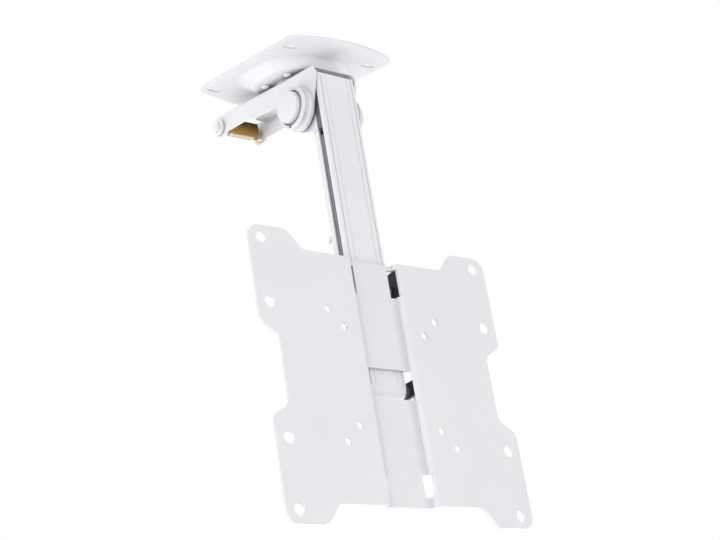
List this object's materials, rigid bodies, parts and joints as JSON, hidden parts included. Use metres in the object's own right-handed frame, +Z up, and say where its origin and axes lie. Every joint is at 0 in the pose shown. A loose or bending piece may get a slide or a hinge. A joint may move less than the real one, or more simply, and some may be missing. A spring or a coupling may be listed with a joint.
{
  "type": "flip-down tv ceiling mount",
  "caption": "Ceiling plate with a swivelling beam, an arm that hangs down or folds up under the beam to a catch, and a tilting notched plate for a small flat screen.",
  "frame": {"origin": "centre of the four ceiling screw slots, on the face that lies against the ceiling", "axes": "+Z up into the ceiling, +X along the fold hinge (to the right seen from the screen side), +Y along the beam, away from the screen side"},
  "size_m": [0.222, 0.2182, 0.3809],
  "materials": {
    "ceiling_plate": "satin powder coat",
    "backing_plate": "bright zinc plate",
    "backing_rivets": "satin powder coat",
    "swivel_disc": "moulded nylon",
    "beam": "satin powder coat",
    "swivel_bolt": "bright zinc plate",
    "swivel_washer": "bright zinc plate",
    "swivel_nut": "bright zinc plate",
    "hinge_hub_left": "satin powder coat",
    "hinge_hub_right": "satin powder coat",
    "hinge_cap_left": "fine satin",
    "hinge_cap_right": "fine satin",
    "hinge_bolt": "bright zinc plate",
    "hinge_nut": "bright zinc plate",
    "hinge_washers": "moulded nylon",
    "catch_plate": "yellow zinc plate",
    "catch_knob": "fine satin",
    "catch_pin": "bright zinc plate",
    "arm_tube": "black coat",
    "arm_head": "satin powder coat",
    "arm_foot": "black coat",
    "arm_pins": "bright zinc plate",
    "front_cover": "fine satin",
    "rear_cover": "fine satin",
    "striker": "satin powder coat",
    "striker_pin": "satin powder coat",
    "tilt_bolts": "bright zinc plate",
    "tilt_nuts": "bright zinc plate",
    "tilt_washers": "bright zinc plate",
    "tilt_spacers": "moulded nylon",
    "screen_plate": "satin powder coat",
    "tilt_bracket_left": "black coat",
    "tilt_bracket_right": "black coat",
    "bracket_rivets": "satin powder coat"
  },
  "bodies": {
    "ceiling": {"ceiling_plate": "ceiling_plate", "backing_plate": "backing_plate", "backing_rivets": "backing_rivets", "swivel_disc": "swivel_disc"},
    "beam": {"beam": "beam", "swivel_bolt": "swivel_bolt", "swivel_washer": "swivel_washer", "swivel_nut": "swivel_nut", "hinge_hub_left": "hinge_hub_left", "hinge_hub_right": "hinge_hub_right", "hinge_cap_left": "hinge_cap_left", "hinge_cap_right": "hinge_cap_right", "hinge_bolt": "hinge_bolt", "hinge_nut": "hinge_nut", "hinge_washers": "hinge_washers"},
    "catch": {"catch_plate": "catch_plate", "catch_knob": "catch_knob", "catch_pin": "catch_pin"},
    "arm": {"arm_tube": "arm_tube", "arm_head": "arm_head", "arm_foot": "arm_foot", "arm_pins": "arm_pins", "front_cover": "front_cover", "rear_cover": "rear_cover", "striker": "striker", "striker_pin": "striker_pin", "tilt_bolts": "tilt_bolts", "tilt_nuts": "tilt_nuts", "tilt_washers": "tilt_washers", "tilt_spacers": "tilt_spacers"},
    "screen": {"screen_plate": "screen_plate", "tilt_bracket_left": "tilt_bracket_left", "tilt_bracket_right": "tilt_bracket_right", "bracket_rivets": "bracket_rivets"}
  },
  "joints": [
    {"name": "swivel", "type": "hinge", "parent": "ceiling", "child": "beam", "pos_m": [0, -0.0105, -0.013], "axis": [0, 0, 1], "range_deg": [-45, 45]},
    {"name": "fold", "type": "hinge", "parent": "beam", "child": "arm", "pos_m": [0, -0.0407, -0.046], "axis": [1, 0, 0], "range_deg": [0, 100.6]},
    {"name": "catch_turn", "type": "hinge", "parent": "beam", "child": "catch", "pos_m": [0, 0.074, -0.026], "axis": [-1, 0, 0], "range_deg": [0, 30]},
    {"name": "tilt", "type": "hinge", "parent": "arm", "child": "screen", "pos_m": [0, -0.10072, -0.27812], "axis": [1, 0, 0], "range_deg": [0, 12]}
  ]
}
